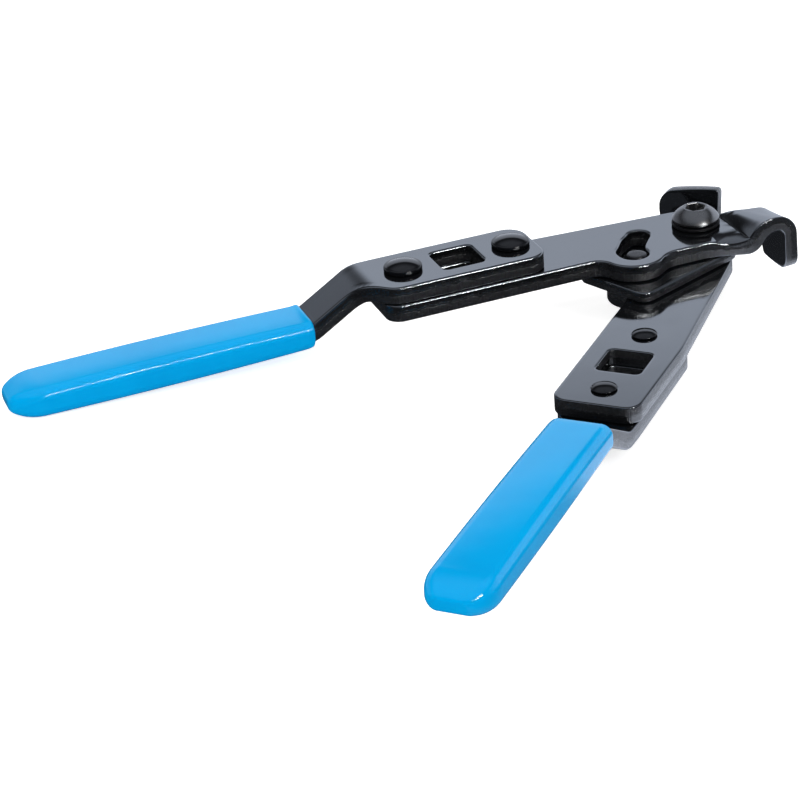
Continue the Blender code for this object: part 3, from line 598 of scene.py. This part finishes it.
def arc_points(centre, radius, start, end, count=6):
    """Points on an arc of a profile, angles in degrees from the radius towards the axis's end."""
    swing = np.radians(np.linspace(start, end, count))
    return (np.array(centre) + radius * np.column_stack([np.cos(swing), np.sin(swing)])).tolist()


def blackened_fastener(name, gloss, ior):
    """Hardened steel, blackened and oiled: a dark skin whose gloss changes in smears a few mm wide,
    over the fine marks of heading and turning."""
    mark_size, smear_size = 0.66667 * mm, 4.5455 * mm
    look, tree = new_look(name)
    place = add(tree, "TexCoord")
    marks, smears = (add(tree, "TexNoise", {"Vector": place.outputs["Object"],
                                            "Scale": 1 / size, "Detail": detail})
                     for size, detail in ((mark_size, 2.0), (smear_size, 4.0)))
    rough = add(tree, "MapRange", zip(span, (smears.outputs[0], 0.3, 0.7, gloss, gloss + 0.10)))
    bump = add(tree, "Bump", {"Height": marks.outputs[0], "Strength": 0.08, "Distance": 0.02 * mm})
    shader = add(tree, "BsdfPrincipled", {"Base Color": linear("#0e0f12"), "IOR": ior,
                                          "Roughness": rough.outputs[0], "Normal": bump.outputs[0]})
    add(tree, "OutputMaterial", {"Surface": shader.outputs[0]})
    return look


rivet_look = blackened_fastener("polished_black_oxide_rivet_steel", 0.03, 1.50)
# The profile in mm, from the head's top over its rounded rim and down the shank to the tail.
head_base = (handle_top + seat_gap) / mm
tail_base = (jaw_low - seat_gap) / mm
head_top = head_base + 2.35
dome_radius, rim_radius, shank = 12.5, 0.55, 3.0
rivet_profile = ([(0, head_top)]
                 + arc_points((0, head_top - dome_radius), dome_radius, 87, 67, 10)
                 + arc_points((5.05, head_base + 0.88), rim_radius, 66, 0, 7)
                 + [(5.6, head_base + 0.12), (5.5, head_base), (shank, head_base)]
                 + [(shank, tail_base)] + arc_points((3.3, tail_base - 0.2), 0.3, 0, -70, 4)
                 + [(2.4, tail_base - 0.95), (1.2, tail_base - 1.15), (0, tail_base - 1.2)])
for side, place in arms:
    for name, spot in zip(("front", "rear"), rivet_places):
        rivet = turned(side + "_" + name + "_rivet_finished", rivet_profile,
                       place @ Matrix.Translation((*spot, 0)), [rivet_look])
        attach(rivet, side + "_arm")
        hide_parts(side + "_" + name + "_rivet")


# Grips
# Soft vinyl dipped over the tang: the handle is dunked in liquid vinyl and drawn out, so the
# sleeve has a glossy skin, round edges, a lip at its mouth and a blunt end.

grip_start = 121.0 * mm
grip_end = 210.15 * mm
tang_middle = -7.8 * mm
lip, tip_run, swell_run = 0.9 * mm, 10 * mm, 79 * mm
half_widths, half_heights = np.array([[8.8, 9.2], [4.10, 4.35]]) * mm
crown, corner_radius = 0.45 * mm, 3.1 * mm
tip_narrowing, tip_lowering = 5.6 * mm, 3.4 * mm


def grip_rings(steps_along=110, steps_round=112):
    """Rings of a rounded box section carried along the tang and swelling towards the far end,
    where they shrink by a quarter ellipse to a blunt tip. A ring's straight sides meet in quarter
    circles of the corner radius. The height has a slight crown, a parabola along the grip. At the
    mouth the skin turns over a small lip."""
    x = np.concatenate([grip_start + lip * (1 - np.cos(np.linspace(0, math.pi / 2, 7))),
                        np.linspace(grip_start + 1.2 * mm, grip_end - tip_run, steps_along - 32),
                        grip_end - tip_run * (1 - np.sin(np.linspace(0.04, math.pi / 2, 25)))])
    swell = np.clip((x - grip_start) / swell_run, 0, 1)
    into_end = np.clip((x - grip_end + tip_run) / tip_run, 0, 1)
    fall = 1 - np.sqrt(1 - into_end ** 2)
    ease = 1 - np.clip((x - grip_start) / lip, 0, 1)
    draw_in = lip * (1 - np.sqrt(1 - ease ** 2))
    half_wide = half_widths[0] + np.ptp(half_widths) * swell - tip_narrowing * fall - draw_in
    half_high = (half_heights[0] + np.ptp(half_heights) * swell
                 + crown * (1 - (2 * swell - 1) ** 2) - tip_lowering * fall - draw_in)
    corner = np.minimum(corner_radius, half_high * 0.96)
    turns = np.linspace(0, math.tau, steps_round, endpoint=False) + math.pi / steps_round
    side, rise = np.sign(np.cos(turns)), np.sign(np.sin(turns))
    level = offset_level(x)[0]
    return np.stack([np.broadcast_to(x[:, None], (len(x), steps_round)),
                     tang_middle + side * (half_wide - corner)[:, None]
                     + np.cos(turns) * corner[:, None],
                     level[:, None] + rise * (half_high - corner)[:, None]
                     + np.sin(turns) * corner[:, None]], axis=-1)


def dipped_vinyl(name):
    """Plasticised vinyl dip, bright blue: a smooth wet-looking skin over a coloured body, with
    slow waves from the way it ran off and a fine unevenness of a couple of millimetres."""
    wave_size, skin_size = 22.222 * mm, 2.3810 * mm
    look, tree = new_look(name)
    place = add(tree, "TexCoord")
    waves, skin = (add(tree, "TexNoise", {"Vector": place.outputs["Object"], "Scale": 1 / size,
                                          "Detail": 2.0}) for size in (wave_size, skin_size))
    tone = add(tree, "MapRange", zip(span, (waves.outputs[0], 0.35, 0.65, 0.0, 1.0)))
    colour = add(tree, "Mix", {"Factor": tone.outputs[0], "A": linear("#00a1e2"),
                               "B": linear("#00a7e8")}, data_type="RGBA")
    slow = add(tree, "Bump", {"Height": waves.outputs[0], "Strength": 0.10, "Distance": 0.6 * mm})
    fine = add(tree, "Bump", {"Height": skin.outputs[0], "Strength": 0.10, "Distance": 0.06 * mm,
                              "Normal": slow.outputs[0]})
    shader = add(tree, "BsdfPrincipled", {"Base Color": colour.outputs["Result"], "IOR": 1.42,
                                          "Roughness": 0.06, "Normal": fine.outputs[0],
                                          "Subsurface Weight": 0.15, "Subsurface Scale": 1.5 * mm,
                                          "Subsurface Radius": (0.3, 0.8, 1.0)})
    add(tree, "OutputMaterial", {"Surface": shader.outputs[0]})
    return look


grip_look = dipped_vinyl("dipped_vinyl_bright_blue")
# Inside its mouth the sleeve narrows to fit round the tang. The tip closes with a flat face.
tang_fit = np.array([0, 7.3 / 7.9, 2.72 / 3.25])
skin = grip_rings()
mouth, tip = skin[0], skin[-1]
inside_mouth = mouth.mean(axis=0) + (mouth - mouth.mean(axis=0)) * tang_fit
inner = inside_mouth + np.array([[[4 * mm, 0, 0]], [[0.05 * mm, 0, 0]]])
tip_face = tip.mean(axis=0) + (tip - tip.mean(axis=0)) * 0.5
rings = np.concatenate([inner, skin, tip_face[None]])
count = rings.shape[0] * rings.shape[1]
grip_faces = grid_faces(*rings.shape[:2]).tolist() + [list(range(count - rings.shape[1], count))]
for side, place in arms:
    grip = new_piece(side + "_grip_dipped", rings.reshape(-1, 3), grip_faces, place, [grip_look])
    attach(grip, side + "_arm")
    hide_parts(side + "_grip")


# Centre plate and cam pin
# A 3 mm plate that slides between the arms on the pivot bush. Its pin rides in both cam slots,
# and its upright nose bar pushes the clamp's ear from behind as the jaws squeeze it.

# Its outline in mm tapers to a narrow nose root. The guide is a slot with round ends.
tail, half_wide, root, round_end = -37.9, 13.4, 1.5, 5.79
centre_outline = even_loop(corner_run([
    (tail, 0, 0), (tail, -half_wide, 3.5), (3, -half_wide, 4), (9, -2 * root, 2),
    (13.3, -root, 1.2), (13.3, root, 1.2), (9, 2 * root, 2), (3, half_wide, 4),
    (tail, half_wide, 3.5), (tail, 0, 0)])[:-1])
guide_loop = even_loop(corner_run([
    (-2.5, -5.8, 0), (-11.1, -5.8, round_end), (-11.1, 5.8, round_end), (6.1, 5.8, round_end),
    (6.1, -5.8, round_end), (-2.5, -5.8, 0)])[:-1])
centre_thickness = 3 * mm
pin_place = (-pin_reach, 0.0)
pin_hole = 3.25 * mm
tool_place = Matrix.Translation(pivot)
centre = blank("centre_plate_finished", centre_outline,
               [guide_loop, circle_loop(pin_place, pin_hole)], centre_thickness,
               [((-37 * mm, -13 * mm), (12 * mm, 13 * mm), 4 * mm)], lambda spots: spots,
               tool_place, [face_look, edge_look])
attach(centre, "centre_drive")
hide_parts("centre_plate")


def bar(name, low, high, radius, place, slots, steps=6):
    """A block with all its edges rounded: a ball's points moved out to the block's corners."""
    quarter = math.pi / 2
    polar = np.concatenate([np.linspace(q * quarter, (q + 1) * quarter, steps) for q in range(2)])
    turns = np.concatenate([np.linspace(q * quarter, (q + 1) * quarter, steps) for q in range(4)])
    u, v = np.meshgrid(polar, turns, indexing="ij")
    ball = np.stack([np.sin(u) * np.cos(v), np.sin(u) * np.sin(v), np.cos(u)], axis=-1) * radius
    corner = np.stack([np.broadcast_to(np.repeat([1, 0, 0, 1], steps), u.shape),
                       np.broadcast_to(np.repeat([1, 1, 0, 0], steps), u.shape),
                       np.broadcast_to(np.repeat([1, 0], steps)[:, None], u.shape)], axis=-1)
    spots = low + radius + corner * (high - low - 2 * radius) + ball
    faces = grid_faces(*u.shape)[:, ::-1].tolist()
    faces += [list(range(u.shape[1])), list(range(u.size - u.shape[1], u.size))[::-1]]
    return new_piece(name, spots.reshape(-1, 3), faces, place, slots)


# The bar is low enough to pass under the goose necks when the jaws are closed.
nose_low, nose_high = np.array([12.0, -2.2, -3.6]) * mm, np.array([14.6, 2.2, 3.6]) * mm
nose = bar("nose_bar", nose_low, nose_high, 0.35 * mm, tool_place, [face_look])
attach(nose, "centre_drive")

pin_look = blackened_fastener("ground_pin_steel_blackened", 0.22, 1.5)
pin_end, pin_round = 6.7, 0.5
pin_profile = ([(0, pin_end), (1.5, pin_end)]
               + arc_points((2.5, pin_end - pin_round), pin_round, 90, 0, 5)
               + arc_points((2.5, pin_round - pin_end), pin_round, 0, -90, 5)
               + [(1.5, -pin_end), (0, -pin_end)])
pin = turned("cam_pin_finished", pin_profile,
             tool_place @ Matrix.Translation((*pin_place, 0)), [pin_look])
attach(pin, "centre_drive")
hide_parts("cam_pin")


# Pivot
# A hardened bush keeps the plates running free, and an M8 button-head screw with a nut and two
# washers holds the stack together. All are blackened steel.

screw_look = blackened_fastener("black_oxide_button_head_steel", 0.22, 2.8)
bore, bush_end, bush_radius, bevel = 4.3, 6.9, 5.5, 0.2
bush_profile = [(bore, bush_end), (bush_radius - bevel, bush_end), (bush_radius, bush_end - bevel),
                (bush_radius, bevel - bush_end), (bush_radius - bevel, -bush_end),
                (bore, -bush_end), (bore, bush_end)]
bush = turned("pivot_bush_finished", bush_profile, tool_place, [screw_look])
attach(bush, "centre_guide")
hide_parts("pivot_bush")

washer_look = blackened_fastener("dull_black_oxide_washer_steel", 0.45, 1.35)
rim, edge, thick = 6.95, 0.2, 0.8
for name, base in (("head_washer", 7.15), ("nut_washer", -7.95)):
    ring = ([(bore, base + thick), (rim, base + thick)]
            + arc_points((rim, base + thick - edge), edge, 90, 0, 4)
            + arc_points((rim, base + edge), edge, 0, -90, 4)
            + [(bore, base), (bore, base + thick)])
    washer = turned(name + "_finished", ring, tool_place, [washer_look])
    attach(washer, "upper_arm")
    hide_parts(name)


def hexagon(turns, across_flats):
    """Radius of a hexagon at each turn: the half width over the cosine of the angle off a flat."""
    return across_flats / 2 / np.cos((turns + math.pi / 6) % (math.pi / 3) - math.pi / 6)


ring_turns = np.linspace(0, math.tau, 96, endpoint=False)


def shaped_turn(name, rings, place, slots):
    """Rings of (radius, level) in mm, either of which may change round the turn, joined into one
    closed surface with crisp edges."""
    radii, levels = (np.stack([np.broadcast_to(value, len(ring_turns)) for value in column])
                     for column in zip(*rings))
    spots = np.stack([radii * np.cos(ring_turns), radii * np.sin(ring_turns), levels], axis=-1)
    ends = [list(range(len(ring_turns))), list(range(radii.size - len(ring_turns), radii.size))]
    faces = grid_faces(*radii.shape)[:, ::-1].tolist() + [ends[0], ends[1][::-1]]
    piece = new_piece(name, spots.reshape(-1, 3) * mm, faces, place, slots)
    piece.data.set_sharp_from_angle(angle=math.radians(32))
    return piece


# The screw above its seat: the hex socket, the flat top, the dome, the rim and the shank.
seat = 8.2
socket = hexagon(ring_turns, 5.4)
screw_rings = ([(socket * 0.5, 0.8), (socket, 0.8), (socket, 4.05), (socket + 0.10, 4.2)]
               + [(3.45, 4.2), (3.6, 4.19)] + arc_points((0.38, -2.9), 7.75, 66, 31, 14)
               + [(7.0, 0.75), (6.95, 0.5), (6.7, 0.35), (5.9, 0.3), (5.9, 0.0), (4.0, 0.0)]
               + [(4.0, -21.8), (3.4, -22.4), (0.5, -22.4)])
screw = shaped_turn("pivot_screw_finished", screw_rings,
                    tool_place @ Matrix.Translation((0, 0, seat * mm)), [screw_look])
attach(screw, "upper_arm")
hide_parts("pivot_screw")

# The nut's corners fall away at 30 degrees outside the flat ring of each face.
top, low, flat, thread = -8.2, -13.2, 6.35, 4.25
nut_side = hexagon(ring_turns, 13.0)
fall = (nut_side - flat) * math.tan(math.radians(30))
nut_rings = [(thread, top - 0.1), (flat, top), (nut_side, top - fall), (nut_side, low + fall),
             (flat, low), (4.6, low), (thread, low + 0.3)]
nut = shaped_turn("pivot_nut_finished", nut_rings, tool_place, [screw_look])
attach(nut, "upper_arm")
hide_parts("pivot_nut")


# Camera
# The camera was fitted to the photo. It stands off the point on the table that it aims at, which
# is measured from the pivot, and its focal length in pixels is for a photo 800 pixels wide.

aim = Vector((-92.17, -83.67, 0)) * mm
distance = 674.1 * mm
heading, tilt, roll = math.radians(-41.31), math.radians(27.50), math.radians(-4.91)
focal_pixels, photo_pixels, sensor = 2503.4, 800, 36
camera_data = bpy.data.cameras.new("camera")
camera_data.sensor_width = sensor
camera_data.lens = focal_pixels * sensor / photo_pixels
camera_data.clip_end = 20
camera = bpy.data.objects.new("camera", camera_data)
camera.matrix_world = (Matrix.Translation(pivot) @ Matrix.Rotation(heading, 4, "Z")
                       @ Matrix.Translation(aim) @ Matrix.Rotation(math.pi / 2 - tilt, 4, "X")
                       @ Matrix.Rotation(roll, 4, "Z") @ Matrix.Translation((0, 0, distance)))
bpy.context.scene.collection.objects.link(camera)
bpy.context.scene.camera = camera
bpy.context.scene.view_settings.view_transform = "Standard"


# Table
# A plain sweep of white paper. In reflections it glows in a painted pattern: painted light behind
# the tool and beside the right arm, painted shade elsewhere. The tool lies on it on the lower
# arm's rivet heads and the upper grip's tip, so the table goes through those three points.

# Level directions: straight to the back of the tent, and square off the right arm's side.
tent_back, off_right_arm = (0.660, 0.751, 0.0), (0.3866, -0.922, 0.0)
tent_tint = (0.86, 0.93, 1.08, 1)


def table_paper(name):
    """White paper, evenly lit where it is seen. In the steel's reflections it glows with painted
    light
    instead: pale behind the tool and in a strip beside the right arm, brighter near the grip, and
    dark elsewhere, a painted shade standing in for the tool's shadow. Only the first reflection is
    that strong."""
    look, tree = new_look(name)
    ray = add(tree, "LightPath")
    place = add(tree, "TexCoord")
    back, beside = (add(tree, "VectorMath", {0: place.outputs["Object"], 1: way},
                        operation="DOT_PRODUCT") for way in (tent_back, off_right_arm))
    behind, near_side, far_side, near_grip = (
        add(tree, "MapRange", zip(span, (way.outputs["Value"], start * mm, end * mm, low, high)),
            interpolation_type="SMOOTHSTEP")
        for way, start, end, low, high in (
            (back, 100, 122, 0.04, 1.0), (beside, 40, 50, 0.0, 1.0), (beside, 62, 80, 1.0, 0.12),
            (back, -75, -50, 0.25, 1.3)))
    first_only = add(tree, "MapRange", zip(span, (ray.outputs["Ray Depth"], 1.0, 2.0, 1.0, 0.15)))
    # The masks paint the reflected floor: painted light where it is pale, painted shade where it is
    # dark.
    pale = near_side.outputs[0]
    for part, how in ((far_side, "MULTIPLY"), (near_grip, "MULTIPLY"), (behind, "MAXIMUM"),
                      (first_only, "MULTIPLY")):
        pale = add(tree, "Math", {0: pale, 1: part.outputs[0]}, operation=how).outputs[0]
    white = add(tree, "BsdfDiffuse", {"Color": linear("#f0f0f0")})
    glow = add(tree, "Emission", {"Color": linear("#ffffff"), "Strength": 0.74})
    lit = add(tree, "AddShader", {0: white.outputs[0], 1: glow.outputs[0]})
    # The floor's glow for reflected rays is a painted reflection, not a lamp.
    painted_reflection = add(tree, "Emission", {"Color": tent_tint, "Strength": pale})
    bounced = add(tree, "MixShader", {0: ray.outputs["Is Glossy Ray"], 1: white.outputs[0],
                                      2: painted_reflection.outputs[0]})
    seen = add(tree, "MixShader", {0: ray.outputs["Is Camera Ray"], 1: bounced.outputs[0],
                                   2: lit.outputs[0]})
    add(tree, "OutputMaterial", {"Surface": seen.outputs[0]})
    return look


rests = [lower_place @ Vector((*spot, 15.0 * mm)) for spot in rivet_places]
rests.append(upper_place @ Vector((grip_end - 5 * mm, tang_middle - 6 * mm, -5.6 * mm)))
square = (rests[1] - rests[0]).cross(rests[2] - rests[0]).normalized()
floor_normal = square * math.copysign(1, square.z)
floor_across = floor_normal.orthogonal().normalized()
floor_along = floor_normal.cross(floor_across)
floor_half = 3.0
floor_mesh = bpy.data.meshes.new("table")
floor_mesh.from_pydata([rests[0] + floor_across * a * floor_half + floor_along * b * floor_half
                        for a, b in ((-1, -1), (1, -1), (1, 1), (-1, 1))], [], [(0, 1, 2, 3)])
floor_mesh.materials.append(table_paper("white_paper_sweep"))
floor = bpy.data.objects.new("table", floor_mesh)
bpy.context.scene.collection.objects.link(floor)


# Light
# A white tent that is darker in front, with a large soft lamp in its top, two small lamps in
# front and a long narrow one beside the upper arm's grip.

tent_right = (0.751, -0.660, 0.0)


def white_tent(name):
    """A world that is plain white to the camera and even for soft light. In reflections it is pale
    at the back, low down and to the right, less so at the left, paler again overhead, and dark
    elsewhere. Only the first reflection in a surface is that strong."""
    world = bpy.data.worlds.new(name)
    world.use_nodes = True
    tree = world.node_tree
    tree.nodes.clear()
    look_way = add(tree, "TexCoord")
    back, across = (add(tree, "VectorMath", {0: look_way.outputs["Generated"], 1: way},
                        operation="DOT_PRODUCT") for way in (tent_back, tent_right))
    height = add(tree, "SeparateXYZ", {"Vector": look_way.outputs["Generated"]})
    behind, low_down, left_side, overhead = (
        add(tree, "MapRange", zip(span, row), interpolation_type="SMOOTHSTEP")
        for row in ((back.outputs["Value"], -0.35, 0.45, 0.05, 1.0),
                    (height.outputs["Z"], 0.43, 0.53, 1.0, 0.04),
                    (across.outputs["Value"], -0.60, -0.05, 0.30, 1.0),
                    (height.outputs["Z"], 0.58, 0.85, 0.0, 0.38)))
    ray = add(tree, "LightPath")
    first_only = add(tree, "MapRange", zip(span, (ray.outputs["Ray Depth"], 2.0, 3.0, 1.0, 0.15)))
    bright = behind.outputs[0]
    for part, how in ((low_down, "MULTIPLY"), (left_side, "MULTIPLY"), (overhead, "ADD"),
                      (first_only, "MULTIPLY")):
        bright = add(tree, "Math", {0: bright, 1: part.outputs[0]}, operation=how).outputs[0]
    plain = add(tree, "Background", {"Color": (1, 1, 1, 1), "Strength": 1.0})
    fill = add(tree, "Background", {"Color": (1, 1, 1, 1), "Strength": 0.80})
    tent = add(tree, "Background", {"Color": tent_tint, "Strength": bright})
    bounced = add(tree, "MixShader", {0: ray.outputs["Is Glossy Ray"], 1: fill.outputs[0],
                                      2: tent.outputs[0]})
    backing = add(tree, "MixShader", {0: ray.outputs["Is Camera Ray"], 1: bounced.outputs[0],
                                      2: plain.outputs[0]})
    add(tree, "OutputWorld", {"Surface": backing.outputs[0]})
    return world


def soft_box(name, spot, target, along, size, power):
    """A rectangular lamp at a spot that faces its target, its first side turned to run along a
    direction."""
    lamp = bpy.data.lights.new(name, "AREA")
    lamp.shape = "RECTANGLE"
    lamp.size, lamp.size_y = size
    lamp.energy = power
    back = (Vector(spot) - Vector(target)).normalized()
    across = (Vector(along) - back * Vector(along).dot(back)).normalized()
    light = bpy.data.objects.new(name, lamp)
    light.matrix_world = Matrix((across, back.cross(across), back)).transposed().to_4x4()
    light.location = spot
    bpy.context.scene.collection.objects.link(light)
    return light


bpy.context.scene.world = white_tent("white_tent")
origin, along_x = (0, 0, 0), (1, 0, 0)
arm_way = upper_place.to_3x3() @ Vector((1, 0, 0))
grip_centre = upper_place @ Vector((165 * mm, tang_middle, 0))
# The narrow lamp runs along the arm, 1.2 m off its grip.
over_grip = grip_centre + Vector((-0.057, -0.864, 0.496)) * 1.2
roof = soft_box("tent_top", (0.0, 0.0, 1.1), origin, along_x, (1.0, 1.0), 2.7)
left = soft_box("front_left", (-0.95, -0.35, 0.75), origin, along_x, (0.12, 0.12), 1.5)
soft_box("front_right", (0.05, -1.0, 0.75), origin, along_x, (0.16, 0.16), 1.3)
narrow = soft_box("strip", over_grip, grip_centre, arm_way, (0.62, 0.022), 5.5)
roof.visible_glossy = left.visible_glossy = narrow.visible_diffuse = False
